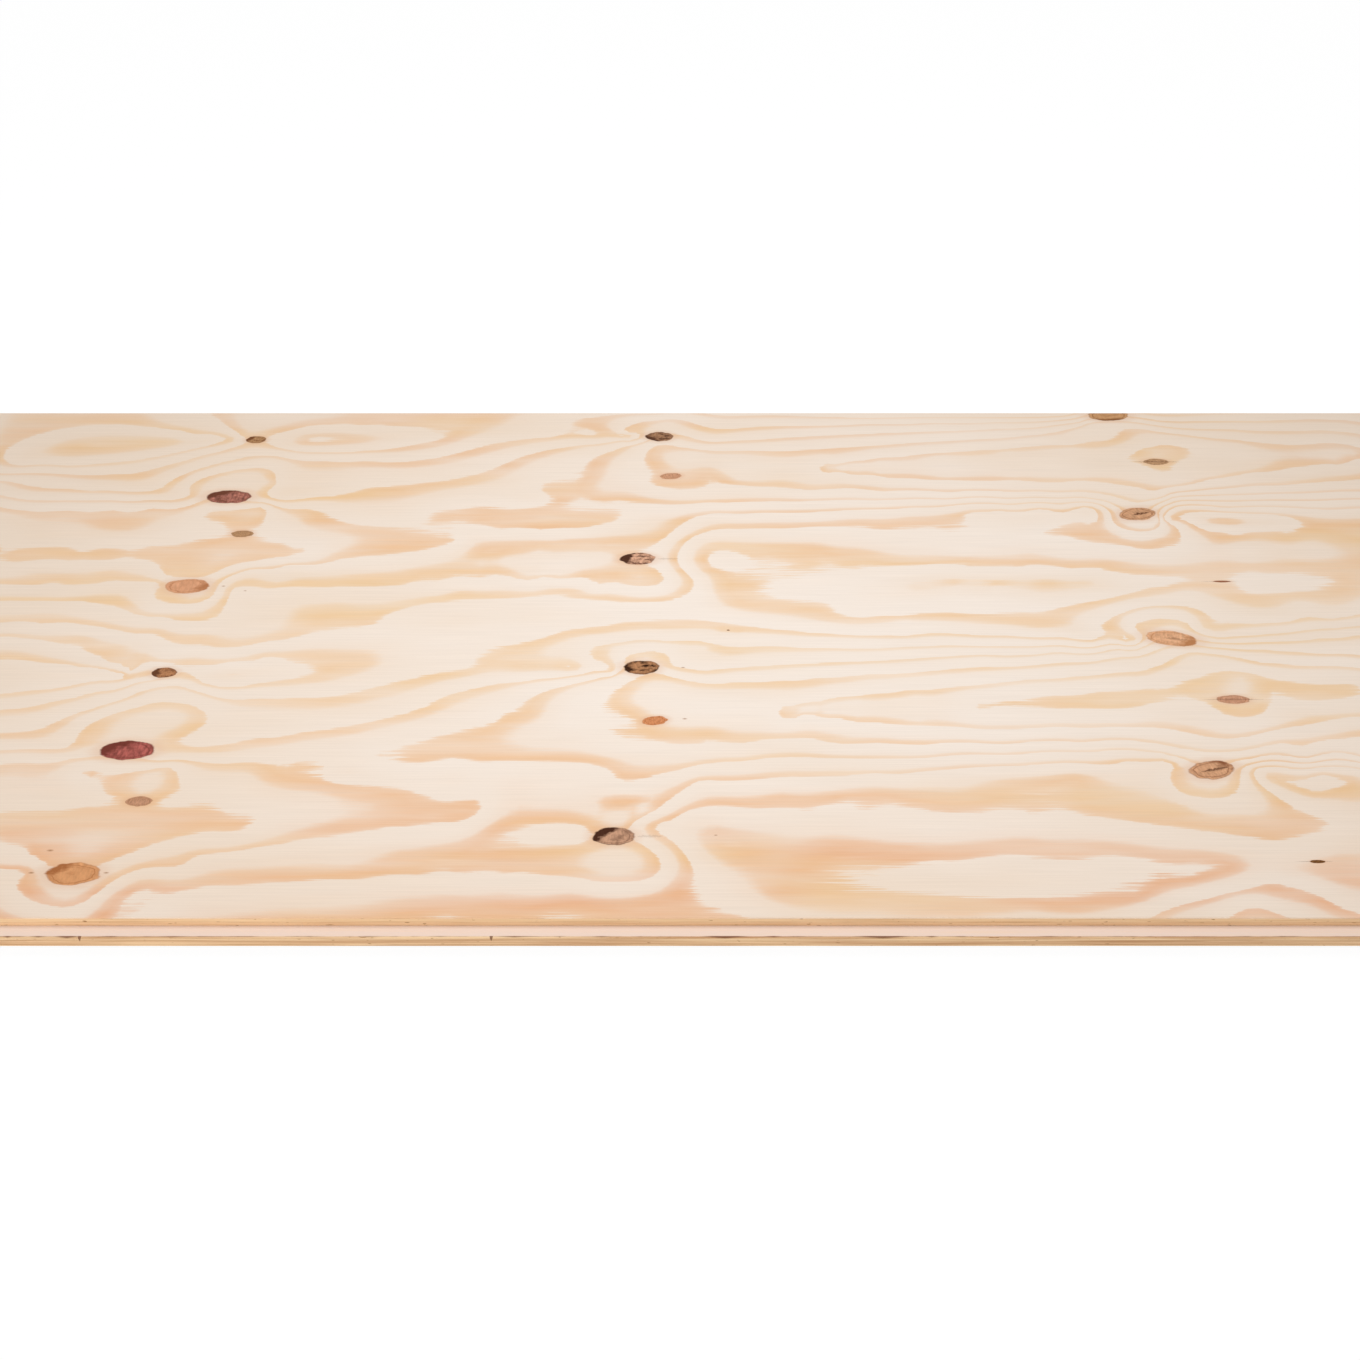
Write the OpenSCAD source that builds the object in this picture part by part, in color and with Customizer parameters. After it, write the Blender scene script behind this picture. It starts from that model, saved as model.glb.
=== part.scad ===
// Tongue-and-groove underlayment board of softwood plywood.
// The face grain runs along X, the tongue points along -Y and the groove opens along +Y.
// The board lies flat, with its underside on z = 0 and the origin under the middle of its box.

/* [Board] */
// Length of the board along its face grain
board_length = 2440; // [600:10:3000]
// Width that the board covers once laid, tongue not counted
cover_width = 600; // [300:5:1250]
// Thickness of the board
board_thickness = 18; // [15:0.5:25]
// Size of the eased corner along the long edges of both faces
arris_ease = 0.4; // [0.1:0.1:1]

/* [Tongue] */
// How far the tongue stands out of the front edge
tongue_reach = 10; // [6:0.5:14]
// Thickness of the tongue at its root
tongue_thickness = 6.8; // [4.5:0.1:8]
// How far back from its tip the tongue is bevelled
tip_bevel_length = 1; // [0.5:0.1:4]
// How much the bevel takes off each side of the tip
tip_bevel_drop = 0.6; // [0.2:0.1:1.8]

/* [Groove] */
// Play between the tongue and each wall of the groove
groove_play = 0.2; // [0.1:0.05:0.4]
// How much deeper the groove is than the tongue is long
groove_relief = 1; // [0.5:0.1:3]
// Size of the flare along both lips of the groove's mouth
mouth_flare = 0.6; // [0.2:0.1:1]

/* [Hidden] */

overall_width = cover_width + tongue_reach;
tip_y = -overall_width / 2;
shoulder_y = tip_y + tongue_reach;
back_y = overall_width / 2;

middle_z = board_thickness / 2;
tongue_half = tongue_thickness / 2;
tip_half = tongue_half - tip_bevel_drop;

groove_half = tongue_half + groove_play;
groove_floor_y = back_y - tongue_reach - groove_relief;
mouth_half = groove_half + mouth_flare;

// Upper half of the board's section, from the tongue's tip round to the groove's floor.
// Each point is [y, height above the middle of the thickness].
upper_half = [
    [tip_y, tip_half],
    [tip_y + tip_bevel_length, tongue_half],
    [shoulder_y, tongue_half],
    [shoulder_y, middle_z - arris_ease],
    [shoulder_y + arris_ease, middle_z],
    [back_y - arris_ease, middle_z],
    [back_y, middle_z - arris_ease],
    [back_y, mouth_half],
    [back_y - mouth_flare, groove_half],
    [groove_floor_y, groove_half]
];

// The lower half is the same outline turned over, walked back from the groove to the tongue.
lower_half = [for (i = [len(upper_half) - 1 : -1 : 0]) [upper_half[i].x, -upper_half[i].y]];

// Section across the board, drawn with Y to the right and the thickness upwards.
module board_section() {
    translate([0, middle_z]) polygon(concat(upper_half, lower_half));
}

// The section runs the whole length, and both ends are sawn square.
module board() {
    color("burlywood")
        rotate([90, 0, 90])
            translate([0, 0, -board_length / 2])
                linear_extrude(height = board_length) board_section();
}

board();
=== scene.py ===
import math

import bmesh
import bpy
import numpy as np
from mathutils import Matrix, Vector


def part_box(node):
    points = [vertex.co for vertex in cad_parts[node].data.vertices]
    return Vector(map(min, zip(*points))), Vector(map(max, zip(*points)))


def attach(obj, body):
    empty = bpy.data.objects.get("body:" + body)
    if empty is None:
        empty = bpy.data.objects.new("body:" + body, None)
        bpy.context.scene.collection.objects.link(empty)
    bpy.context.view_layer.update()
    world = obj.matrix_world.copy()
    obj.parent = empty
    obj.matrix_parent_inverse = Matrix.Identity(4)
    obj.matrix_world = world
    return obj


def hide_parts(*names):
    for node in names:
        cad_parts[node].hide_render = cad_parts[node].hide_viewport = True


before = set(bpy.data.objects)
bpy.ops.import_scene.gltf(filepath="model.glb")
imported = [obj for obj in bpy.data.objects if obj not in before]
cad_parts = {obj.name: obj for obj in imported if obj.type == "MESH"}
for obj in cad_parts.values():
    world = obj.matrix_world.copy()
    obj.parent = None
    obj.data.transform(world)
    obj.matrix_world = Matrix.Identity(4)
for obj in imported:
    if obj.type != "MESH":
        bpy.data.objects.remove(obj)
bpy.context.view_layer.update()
lowCorner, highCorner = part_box("board")
mm = 0.001
print("frame loaded, board box", tuple(lowCorner), tuple(highCorner))


# sRGB hex to the linear colour that sockets take
def hexColour(code):
    parts = [int(code[i:i + 2], 16) / 255 for i in (0, 2, 4)]
    return [p / 12.92 if p <= 0.04045 else ((p + 0.055) / 1.055) ** 2.4 for p in parts] + [1.0]


# adds a node, sets it up, fills or links its sockets, and gives back one output, the first if none is named
def addNode(tree, kind, sockets=None, out=None, stops=(), **settings):
    node = tree.nodes.new("ShaderNode" + kind)
    for name, value in settings.items():
        setattr(node, name, value)
    for name, value in (sockets or {}).items():
        if isinstance(value, bpy.types.NodeSocket):
            tree.links.new(value, node.inputs[name])
        else:
            node.inputs[name].default_value = value
    if stops:
        ramp = node.color_ramp.elements
        ramp[0].position, ramp[1].position = stops[0][0], stops[-1][0]
        for place, colour in stops[1:-1]:
            ramp.new(place)
        for stop, (place, colour) in zip(ramp, stops):
            stop.color = colour
    if out:
        return node.outputs[out]
    return next((socket for socket in node.outputs if socket.enabled), node)


# a material with an empty tree
def newMaterial(name):
    material = bpy.data.materials.new(name)
    material.use_nodes = True
    material.node_tree.nodes.clear()
    return material, material.node_tree


# closes a tree as bare wood with a low relief
def woodSurface(tree, colour, roughness, height, finish):
    relief = addNode(tree, "Bump", {
        "Height": height, "Strength": finish["relief"], "Distance": finish["reliefDepth"] * mm,
    })
    surface = addNode(tree, "BsdfPrincipled", {
        "Base Color": colour,
        "Roughness": roughness,
        "IOR": finish["ior"],
        "Specular IOR Level": finish["specular"],
        "Normal": relief,
    })
    addNode(tree, "OutputMaterial", {"Surface": surface})


# Board: one sheet with a milled tongue along the front and a groove along the back, all sizes in mm.
board = {
    "seenLength": 1120,  # middle stretch with the finer mesh
    "seenStep": 5.6,
    "outerSteps": 50,  # coarser columns from there to each sawn end
    "rows": 131,
    "arrisEase": 0.4,
    "tongueReach": 10,
    "tongueThickness": 6.8,
    "tipBevel": (1.0, 0.6),  # back from the tip, off each side
    "groovePlay": 0.2,
    "grooveRelief": 1.0,
    "mouthFlare": 0.6,
    "sortFrom": (-3.1, -1.7, 0.9),  # m, off the board and off its planes of symmetry
    "closeTo": 0.01,  # points this near to a line lie on it
    "faceDepth": 1.0,  # points this near to a broad face belong to it
    "faceTilt": 0.6,  # upright share of a normal from which a face counts as broad
}

boardLength = (highCorner.x - lowCorner.x) / mm
thickness = (highCorner.z - lowCorner.z) / mm
tipY, backY = lowCorner.y / mm, highCorner.y / mm
shoulderY = tipY + board["tongueReach"]
middleZ = thickness / 2


# selects the edges of the mesh in edit mode whose two ends pass the test, in mm
def pickEdges(piece, test):
    shape = bmesh.from_edit_mesh(piece.data)
    bpy.ops.mesh.select_all(action="DESELECT")
    for edge in shape.edges:
        edge.select_set(all(test(vertex.co / mm) for vertex in edge.verts))
    shape.select_flush(False)
    bmesh.update_edit_mesh(piece.data)


def extrudeBy(x, y, z):
    bpy.ops.mesh.extrude_region_move(TRANSFORM_OT_translate={"value": (x * mm, y * mm, z * mm)})


def makeBoard():
    ease, reach, flare = board["arrisEase"], board["tongueReach"], board["mouthFlare"]
    bevelBack, bevelDrop = board["tipBevel"]
    closeTo = board["closeTo"]
    tongueHalf = board["tongueThickness"] / 2
    grooveHalf = tongueHalf + board["groovePlay"]
    mouthHalf = grooveHalf + flare
    flatLow, flatHigh = shoulderY + ease, backY - ease
    columns = round(board["seenLength"] / board["seenStep"])
    bpy.ops.object.select_all(action="DESELECT")
    bpy.ops.mesh.primitive_grid_add(x_subdivisions=columns, y_subdivisions=board["rows"], size=1)
    piece = bpy.context.object
    piece.name = "plywood_board"
    piece.scale = (board["seenLength"] * mm, (flatHigh - flatLow) * mm, 1)
    piece.location = (0, (flatLow + flatHigh) / 2 * mm, middleZ * mm)
    bpy.ops.object.transform_apply(location=True, scale=True)

    # only the upper half is modelled, with the middle of the thickness on the object's own z = 0
    bpy.ops.object.mode_set(mode="EDIT")
    bpy.ops.mesh.select_mode(type="EDGE")
    frontSteps = [
        (-ease, -ease),
        (0, tongueHalf - middleZ + ease),
        (bevelBack - reach, 0),
        (-bevelBack, -bevelDrop),
        (0, bevelDrop - tongueHalf),
    ]
    backSteps = [
        (ease, -ease),
        (0, mouthHalf - middleZ + ease),
        (-flare, -flare),
        (flare - reach - board["grooveRelief"], 0),
        (0, -grooveHalf),
    ]
    for start, steps in ((flatLow, frontSteps), (flatHigh, backSteps)):
        pickEdges(piece, lambda p: abs(p.y - start) < closeTo)
        for y, z in steps:
            extrudeBy(0, y, z)

    # both ends carry on to the saw cut in coarser columns and are closed there
    outerStep = (boardLength - board["seenLength"]) / 2 / board["outerSteps"]
    for side in (-1, 1):
        seenEnd = side * board["seenLength"] / 2
        pickEdges(piece, lambda p: abs(p.x - seenEnd) < closeTo)
        for step in range(board["outerSteps"]):
            extrudeBy(side * outerStep, 0, 0)
        bpy.ops.mesh.edge_face_add()
    bpy.ops.object.mode_set(mode="OBJECT")

    mirror = piece.modifiers.new("lower half", "MIRROR")
    mirror.use_axis = (False, False, True)
    mirror.merge_threshold = closeTo * mm
    bpy.ops.object.modifier_apply(modifier=mirror.name)
    piece.location = (0, 0, middleZ * mm)
    bpy.ops.object.transform_apply(location=True)
    bpy.ops.object.mode_set(mode="EDIT")
    bpy.ops.mesh.select_all(action="SELECT")
    bpy.ops.mesh.normals_make_consistent(inside=False)

    # extruding leaves the faces in a different order each run, so they are put in a fixed one
    bpy.context.scene.cursor.location = board["sortFrom"]
    bpy.ops.mesh.sort_elements(type="CURSOR_DISTANCE", elements={"FACE"})
    bpy.ops.object.mode_set(mode="OBJECT")
    return piece


# Ring lines of the face, as read: a ring's number, then places on its sharp edge, in board mm.
ringLines = [
    # far turn, left whorl
    (4, [(-352, 261), (-375, 246), (-400, 234), (-430, 225), (-465, 220), (-500, 220), (-516, 235),
         (-512, 255), (-498, 270), (-475, 281), (-450, 285), (-425, 283), (-400, 278), (-375, 269)]),
    (3, [(-375, 308), (-362, 293), (-350, 278), (-342, 268)]),
    (3, [(-318, 266), (-300, 278), (-275, 285), (-250, 284), (-225, 283), (-205, 281), (-190, 274),
         (-182, 267), (-190, 259), (-205, 253), (-225, 246), (-250, 242), (-275, 241), (-295, 243),
         (-308, 248), (-318, 255)]),
    (3, [(-512, 208), (-490, 209), (-470, 208), (-450, 206), (-425, 207), (-400, 214), (-385, 223),
         (-365, 236), (-345, 248), (-337, 254)]),
    (2, [(-507, 197), (-490, 191), (-470, 186), (-440, 182), (-405, 180), (-390, 183), (-382, 196),
         (-372, 208), (-358, 219), (-340, 229), (-322, 236), (-308, 235), (-292, 229), (-270, 227),
         (-240, 227), (-210, 226), (-190, 231), (-170, 240), (-150, 252), (-130, 259), (-100, 265),
         (-70, 267), (-40, 267)]),
    (1, [(-502, 175), (-485, 169), (-450, 168), (-410, 167), (-378, 168), (-364, 174), (-366, 188),
         (-358, 201), (-342, 211), (-322, 216), (-308, 212), (-303, 198), (-306, 182), (-300, 170),
         (-280, 170), (-258, 174), (-243, 180), (-228, 187), (-200, 192), (-170, 199), (-150, 209),
         (-135, 221), (-118, 236), (-100, 245), (-75, 253), (-45, 260)]),
    (0, [(-498, 158), (-480, 153), (-450, 153), (-415, 154), (-385, 157), (-355, 165)]),
    (0, [(-316, 166), (-298, 160), (-275, 156), (-260, 150), (-248, 139), (-235, 133), (-210, 129),
         (-185, 125), (-170, 118), (-161, 111), (-170, 103), (-185, 96), (-210, 91), (-240, 85), (-275, 78),
         (-300, 72), (-316, 60)]),
    (-1, [(-344, 152), (-335, 137), (-328, 128), (-306, 158), (-302, 145), (-303, 132), (-308, 126)]),
    (-1, [(-306, 117), (-290, 109), (-275, 100), (-265, 95), (-278, 88), (-300, 82), (-316, 76), (-326, 66),
          (-330, 116), (-345, 111), (-365, 104), (-390, 98), (-425, 96), (-480, 94), (-480, 86), (-440, 85),
          (-400, 85), (-378, 84), (-366, 76), (-358, 63)]),
    (0, [(-472, 52), (-450, 51), (-425, 51), (-405, 53), (-380, 56), (-362, 55)]),
    (1, [(-466, 31), (-440, 31), (-410, 31), (-395, 26), (-375, 18), (-358, 11), (-340, 7), (-325, 6),
         (-314, 10), (-311, 22), (-310, 35), (-310, 45), (-300, 49), (-275, 48), (-245, 48), (-215, 49),
         (-190, 52), (-165, 56), (-140, 60), (-115, 61), (-95, 62), (-78, 60), (-55, 52), (-30, 50),
         (-15, 52), (-11, 60), (-14, 70), (-22, 77)]),
    (0, [(-363, 42), (-360, 33), (-350, 28), (-335, 27), (-325, 32), (-320, 40)]),
    # between the turns
    (2, [(-460, 4), (-430, 3), (-400, 1), (-385, -3), (-365, -9), (-345, -15), (-325, -23), (-305, -26),
         (-285, -23), (-265, -17), (-250, -10), (-235, -5), (-220, -2), (-207, 1), (-200, 12), (-190, 20),
         (-175, 27), (-150, 31), (-125, 34), (-100, 37), (-75, 35), (-50, 31), (-25, 29), (-10, 31),
         (3, 38), (9, 47), (10, 56), (5, 66), (0, 76)]),
    # far turn, middle whorl
    (1, [(-18, 105), (-8, 118), (2, 134), (12, 144), (25, 149), (60, 150), (100, 151), (140, 154),
         (170, 157), (200, 160), (240, 161), (280, 162), (305, 163)]),
    (0, [(-182, 148), (-165, 155), (-140, 158), (-110, 158), (-80, 158), (-55, 155), (-42, 148), (-50, 136),
         (-70, 128), (-100, 125), (-130, 127), (-160, 136)]),
    (0, [(305, 169), (280, 170), (240, 170), (200, 169), (150, 168), (100, 167), (60, 166), (35, 164),
         (0, 162), (-25, 164), (-45, 167), (-70, 171), (-98, 174), (-104, 186), (-98, 195), (-85, 197),
         (-75, 201), (-76, 210), (-70, 222), (-63, 235), (-48, 246), (-34, 254)]),
    (-1, [(-18, 252), (-26, 238), (-27, 222), (-20, 208), (-23, 196), (-15, 188), (0, 184), (15, 186),
          (28, 194), (45, 190), (75, 187), (100, 183), (150, 181), (200, 180), (250, 180), (290, 180),
          (310, 178), (323, 172)]),
    (-2, [(350, 279), (340, 268), (328, 259), (300, 252), (250, 246), (200, 240), (165, 233), (140, 228),
          (120, 222), (106, 216), (120, 211), (145, 206), (170, 201), (200, 198), (250, 198), (300, 197),
          (325, 192), (343, 186), (362, 186), (378, 190), (400, 200), (430, 209), (460, 216), (490, 223),
          (515, 230)]),
    (-3, [(342, 232), (350, 242), (362, 249), (378, 252), (389, 247), (390, 237), (381, 228), (373, 219),
          (370, 212), (360, 211), (354, 219), (346, 226)]),
    (-1, [(-2, 250), (12, 246), (30, 243), (60, 243), (90, 244), (120, 248), (150, 252), (180, 256),
          (210, 259), (250, 264), (285, 271), (305, 279), (320, 288)]),
    (0, [(22, 258), (60, 261), (100, 266), (150, 271), (200, 275), (250, 279), (290, 284), (315, 291)]),
    (1, [(-34, 262), (-42, 272), (-40, 283), (-28, 291), (-8, 295), (10, 289), (22, 281), (38, 279),
         (60, 282), (100, 284), (150, 287), (200, 289), (250, 290), (300, 294)]),
    (2, [(-45, 269), (-65, 272), (-82, 277), (-84, 287), (-76, 296), (-55, 301), (-20, 304), (20, 304),
         (70, 301), (100, 299), (150, 297), (200, 298), (250, 298), (300, 300)]),
    # far turn, right of the right whorl
    (-2, [(365, 277), (385, 271), (410, 264), (440, 258), (480, 253), (520, 250)]),
    (-1, [(372, 285), (390, 280), (425, 278), (475, 275), (525, 272)]),
    (0, [(375, 293), (400, 291), (450, 292), (530, 292)]),
    (-1, [(358, 172), (375, 180), (405, 185), (450, 190), (490, 196), (512, 200)]),
    (0, [(362, 170), (390, 174), (425, 176), (475, 179), (508, 181)]),
    (1, [(364, 164), (400, 166), (450, 167), (505, 169)]),
    (2, [(364, 158), (400, 157), (450, 157), (502, 156)]),
    (3, [(366, 146), (371, 134), (378, 126), (390, 123), (410, 122), (430, 123), (445, 128), (450, 135),
         (443, 144), (425, 148), (400, 150), (375, 151)]),
    (2, [(5, 110), (12, 118), (22, 124), (40, 127), (75, 127), (100, 130), (125, 130), (140, 127),
         (165, 126), (190, 127), (204, 129), (207, 140), (212, 150), (235, 153), (265, 155), (300, 158)]),
    (2, [(305, 142), (290, 137), (274, 130), (263, 122), (275, 116), (300, 107), (325, 100), (340, 99),
         (354, 104), (360, 118), (358, 131), (352, 142)]),
    (1, [(314, 140), (317, 130), (327, 124), (338, 124), (347, 131), (350, 142)]),
    (3, [(350, 55), (320, 64), (300, 69), (275, 73), (240, 76), (200, 77), (170, 77), (150, 76), (125, 73),
         (100, 71), (85, 66), (75, 62), (62, 56), (58, 48), (60, 38), (75, 31), (95, 29), (104, 24),
         (108, 15), (120, 11), (150, 13), (200, 15), (235, 17), (260, 24), (285, 32), (310, 41),
         (335, 50)]),
    (3, [(22, 76), (20, 86), (24, 95), (35, 97), (43, 92), (48, 86), (60, 81), (68, 75), (62, 70), (45, 69),
         (30, 71)]),
    (3, [(386, 61), (392, 67), (410, 67), (430, 66), (447, 62), (452, 58), (445, 50), (435, 44), (420, 42),
         (400, 41), (390, 43), (386, 50)]),
    (2, [(282, -1), (290, 8), (302, 17), (315, 23), (330, 25), (345, 24), (355, 18), (360, 10), (367, 5),
         (385, 3), (410, 5), (440, 9), (460, 14)]),
    (1, [(305, -4), (310, 5), (322, 10), (335, 8), (343, 2), (347, -8)]),
    # near turn, left whorl
    (3, [(-452, -13), (-430, -16), (-408, -23), (-390, -33), (-375, -43), (-360, -53)]),
    (4, [(-448, -40), (-425, -42), (-400, -46), (-378, -50), (-362, -55), (-350, -56.5)]),
    (4, [(-436, -79), (-400, -72), (-375, -64), (-360, -60), (-350, -58.5)]),
    (3, [(-430, -96), (-400, -87), (-375, -76), (-350, -65)]),
    (2, [(-424, -121), (-402, -117), (-391, -107), (-375, -96), (-360, -87), (-350, -79), (-335, -71),
         (-320, -71), (-308, -77), (-295, -83), (-270, -84), (-245, -83), (-225, -82), (-207, -76),
         (-190, -68), (-170, -60), (-150, -53), (-136, -49), (-134, -40), (-127, -30), (-108, -21),
         (-92, -15), (-80, -7), (-60, -1), (-40, 4), (-15, 7), (10, 8), (25, 5), (45, 0), (65, -4),
         (90, -8), (120, -11), (150, -12), (200, -11), (240, -14), (275, -17), (300, -18)]),
    (1, [(-418, -139), (-400, -138), (-381, -137), (-377, -125), (-372, -112), (-360, -101), (-345, -93),
         (-325, -88), (-308, -93), (-299, -103), (-303, -118), (-311, -131), (-297, -136), (-280, -132),
         (-250, -125), (-225, -118), (-200, -111), (-178, -102), (-163, -93), (-152, -82), (-138, -75),
         (-120, -68), (-95, -63), (-70, -58), (-45, -52)]),
    (0, [(-415, -153), (-400, -152), (-378, -149), (-360, -146), (-318, -150), (-295, -151), (-265, -151),
         (-235, -150), (-188, -142), (-168, -133), (-150, -124), (-130, -115), (-118, -111), (-112, -102),
         (-103, -95), (-97, -85), (-85, -75), (-70, -68), (-50, -60), (-40, -54)]),
    (0, [(-178, -145), (-150, -150), (-125, -151), (-100, -150), (-75, -151), (-55, -153), (-42, -160),
         (-35, -170), (-27, -170), (-15, -164), (0, -159), (20, -152), (50, -148), (75, -146), (100, -147),
         (150, -147), (200, -144), (250, -141), (290, -141), (303, -145)]),
    (0, [(-218, -158), (-224, -163), (-205, -173), (-180, -176), (-165, -179), (-150, -186), (-130, -189),
         (-119, -191), (-121, -203), (-132, -210), (-160, -214), (-190, -219), (-220, -226), (-250, -234),
         (-278, -240), (-290, -251), (-308, -252)]),
    (-1, [(-362, -158), (-355, -168), (-347, -180), (-338, -188), (-315, -156), (-305, -167), (-302, -176),
          (-308, -186)]),
    (-1, [(-405, -200), (-380, -199), (-355, -195), (-338, -192), (-312, -194), (-290, -194), (-275, -197),
          (-266, -204), (-254, -214), (-265, -220), (-290, -223), (-305, -229), (-318, -238), (-330, -246),
          (-395, -229), (-382, -232), (-374, -242), (-367, -248)]),
    (0, [(-392, -252), (-376, -254), (-379, -264), (-372, -276), (-360, -283), (-345, -286), (-335, -281),
         (-329, -272)]),
    (1, [(-385, -293), (-360, -301), (-330, -303), (-306, -292), (-302, -280), (-305, -270), (-275, -270),
         (-250, -267), (-225, -264), (-200, -262), (-175, -260), (-150, -258), (-125, -257), (-100, -257),
         (-75, -259), (-50, -263), (-30, -264), (-17, -261), (-11, -252), (-12, -243), (-20, -232)]),
    (1, [(-103, -222), (-92, -215), (-75, -211), (-58, -213), (-52, -222), (-58, -229), (-75, -231),
         (-95, -228)]),
    # near turn, middle whorl
    (1, [(-28, -211), (-18, -201), (-8, -191), (2, -179), (12, -170), (25, -170), (50, -168), (75, -166),
         (100, -165), (135, -163), (150, -160), (175, -157), (200, -155), (250, -153), (275, -150),
         (300, -150)]),
    (2, [(-15, -214), (-5, -208), (3, -200), (12, -196), (30, -195), (45, -197), (75, -198), (110, -198),
         (150, -199), (180, -200), (210, -201), (240, -203), (255, -207), (270, -210), (285, -214),
         (305, -218), (325, -222), (345, -227), (360, -225), (375, -219), (383, -211), (376, -203),
         (366, -194), (356, -181), (350, -168)]),
    (-1, [(-27, -60), (-38, -71), (-46, -83), (-49, -92), (-38, -101), (-29, -108), (-40, -116),
          (-42, -121), (-36, -127), (-15, -130), (10, -133), (40, -132), (100, -133), (150, -134),
          (200, -133), (250, -131), (290, -131), (310, -137)]),
    (-2, [(425, -104), (400, -111), (380, -116), (360, -123), (345, -127), (325, -124), (310, -118),
          (295, -115), (270, -115), (240, -115), (200, -117), (175, -115), (150, -113), (125, -110),
          (100, -105), (80, -101), (63, -98), (75, -92), (90, -87), (110, -82), (135, -78), (160, -74),
          (185, -70), (210, -66), (240, -62), (270, -58), (300, -53), (316, -45), (326, -37)]),
    (-3, [(187, -91), (210, -85), (240, -80), (270, -76), (300, -73), (322, -67), (338, -60), (350, -54),
          (362, -53), (375, -57), (390, -63), (415, -68), (437, -70), (210, -93), (240, -95), (262, -96),
          (285, -95), (300, -90), (312, -86), (326, -83), (380, -78), (390, -84), (405, -87), (420, -85),
          (436, -80), (337, -90), (343, -99), (355, -105), (369, -101), (375, -92)]),
    (-1, [(-12, -56), (0, -62), (12, -66), (35, -66), (65, -64), (90, -61), (120, -57), (150, -55),
          (175, -51), (200, -48), (240, -45), (275, -41), (300, -36), (313, -30)]),
    (0, [(15, -53), (40, -49), (60, -47), (90, -44), (120, -42), (150, -39), (200, -34), (250, -31),
         (290, -27), (308, -24)]),
    (1, [(-45, -49), (-58, -40), (-61, -32), (-55, -24), (-40, -20), (-10, -18), (20, -21), (60, -24),
         (100, -26), (150, -25), (200, -24), (250, -23), (290, -21)]),
    (0, [(-37, -40), (-30, -33), (-17, -30), (-7, -36), (-5, -47)]),
    (3, [(-318, -58), (-306, -46), (-280, -41), (-255, -43), (-241, -50), (-240, -56), (-252, -62),
         (-275, -68), (-295, -71), (-308, -67)]),
    (3, [(288, -249), (270, -244), (240, -242), (200, -242), (170, -244), (145, -247), (125, -251),
         (110, -256), (100, -262), (103, -270), (120, -272), (150, -275), (180, -278), (210, -277),
         (235, -273), (255, -266), (275, -257)]),
    (2, [(-5, -227), (2, -238), (7, -250), (9, -262), (11, -275), (13, -284), (25, -290), (42, -296)]),
    # near turn, right whorl
    (1, [(299, -162), (298, -173), (303, -183), (315, -187), (328, -186), (337, -178), (341, -168)]),
    (3, [(370, -168), (385, -166), (400, -168), (404, -172), (392, -178), (383, -180), (373, -175)]),
    (2, [(352, -158), (375, -158), (415, -158)]),
    (1, [(352, -153), (385, -153), (420, -154)]),
    (0, [(352, -148), (385, -148), (422, -147)]),
    (0.5, [(352, -150), (385, -150), (422, -150)]),
    (-1, [(350, -139), (375, -132), (400, -129), (425, -125)]),
    (1, [(360, -14), (385, -11), (425, -4), (456, 0)]),
    (0, [(362, -20), (395, -19), (425, -15), (454, -11)]),
    (-1, [(360, -26), (385, -28), (425, -33), (450, -35)]),
    (-2, [(340, -31), (360, -35), (380, -43), (400, -46), (425, -47), (446, -50)]),
    (2, [(265, -293), (275, -287), (290, -281), (310, -274), (328, -268), (340, -264), (350, -269),
         (362, -276), (370, -285), (380, -291)]),
    (1, [(305, -296), (312, -290), (323, -286), (336, -292)]),
]
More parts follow.
